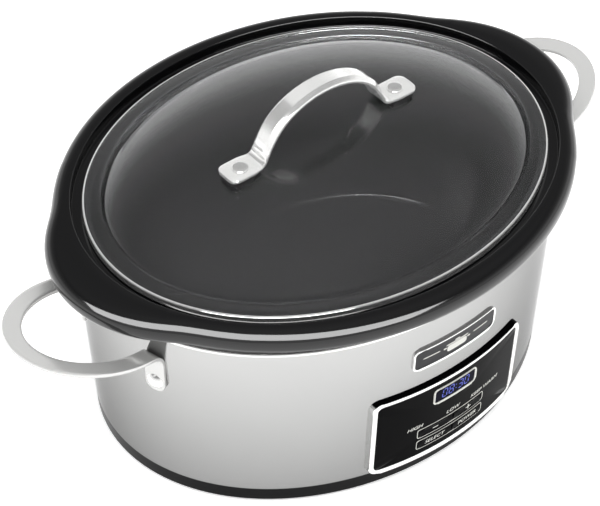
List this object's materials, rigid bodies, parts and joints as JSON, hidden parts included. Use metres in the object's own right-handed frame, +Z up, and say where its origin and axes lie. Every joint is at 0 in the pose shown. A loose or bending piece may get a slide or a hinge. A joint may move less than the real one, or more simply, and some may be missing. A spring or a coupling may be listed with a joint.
{
  "type": "slow cooker",
  "caption": "Oval steel-clad slow cooker with lift-out black stoneware crock, glass lid with bow handle, strap side handles and a digital key panel.",
  "frame": {"origin": "centre of the oval on the table under the rubber feet", "axes": "+X along the oval's long axis between the side handles, -Y towards the control panel, +Z up"},
  "size_m": [0.4632, 0.297, 0.2268],
  "materials": {
    "steel_brushed": "satin brushed",
    "steel_sheet": "plain sheet",
    "steel_polished": "polished",
    "stoneware": "glossy black glaze",
    "tempered_glass": "clear",
    "black_moulding": "fine texture",
    "panel_black": "gloss",
    "panel_print": "light grey print",
    "display_pane": "tinted",
    "badge_grey": "satin",
    "rubber_black": "matt",
    "silicone_pad": "matt",
    "board_green": "solder mask",
    "heater_wrap": "woven glass over resistance wire",
    "aluminium_plain": "plain",
    "component_black": "moulded",
    "terminal_white": "moulded"
  },
  "bodies": {
    "housing": {"housing_shell": "steel_brushed", "inner_liner": "aluminium_plain", "liner_posts": "steel_sheet", "heater_band": "heater_wrap", "band_clips": "steel_sheet", "base_tray": "black_moulding", "rubber_feet": "rubber_black", "base_screws": "steel_sheet", "heat_shield": "steel_sheet", "temperature_sensor": "aluminium_plain", "sensor_bracket": "steel_sheet", "sensor_spring": "steel_sheet", "thermal_fuse": "steel_polished", "fuse_clip": "steel_sheet", "power_board": "board_green", "relay": "component_black", "transformer": "steel_sheet", "capacitor": "component_black", "terminal_block": "terminal_white", "control_bezel": "steel_polished", "panel_face": "panel_black", "lcd_frame": "panel_print", "lcd_window": "display_pane", "lcd_module": "component_black", "key_outlines": "panel_print", "key_domes": "silicone_pad", "display_board": "board_green", "control_case": "black_moulding", "badge_frame": "steel_polished", "badge_plate": "badge_grey", "cord_gland": "black_moulding", "gland_nut": "black_moulding", "side_handle_right": "steel_brushed", "side_handle_left": "steel_brushed", "handle_rivets": "steel_polished", "rivet_washers": "steel_sheet"},
    "crock_body": {"crock": "stoneware"},
    "lid_body": {"lid_glass": "tempered_glass", "lid_rim": "steel_polished", "lid_handle": "steel_polished", "handle_pads": "silicone_pad", "lid_rivets": "steel_polished", "lid_washers": "silicone_pad"},
    "key_minus_body": {"key_minus": "panel_black"},
    "key_plus_body": {"key_plus": "panel_black"},
    "key_select_body": {"key_select": "panel_black"},
    "key_power_body": {"key_power": "panel_black"}
  },
  "joints": [
    {"name": "crock_lift", "type": "slide", "parent": "housing", "child": "crock_body", "axis": [0, 0, 1], "range_m": [0, 0.14]},
    {"name": "lid_lift", "type": "slide", "parent": "crock_body", "child": "lid_body", "axis": [0, 0, 1], "range_m": [0, 0.12]},
    {"name": "key_minus_press", "type": "slide", "parent": "housing", "child": "key_minus_body", "axis": [0, 1, 0], "range_m": [0, 0.0004], "stiffness_N_per_m": 2500, "springref_m": -0.0002},
    {"name": "key_plus_press", "type": "slide", "parent": "housing", "child": "key_plus_body", "axis": [0, 1, 0], "range_m": [0, 0.0004], "stiffness_N_per_m": 2500, "springref_m": -0.0002},
    {"name": "key_select_press", "type": "slide", "parent": "housing", "child": "key_select_body", "axis": [0, 1, 0], "range_m": [0, 0.0004], "stiffness_N_per_m": 2500, "springref_m": -0.0002},
    {"name": "key_power_press", "type": "slide", "parent": "housing", "child": "key_power_body", "axis": [0, 1, 0], "range_m": [0, 0.0004], "stiffness_N_per_m": 2500, "springref_m": -0.0002}
  ]
}
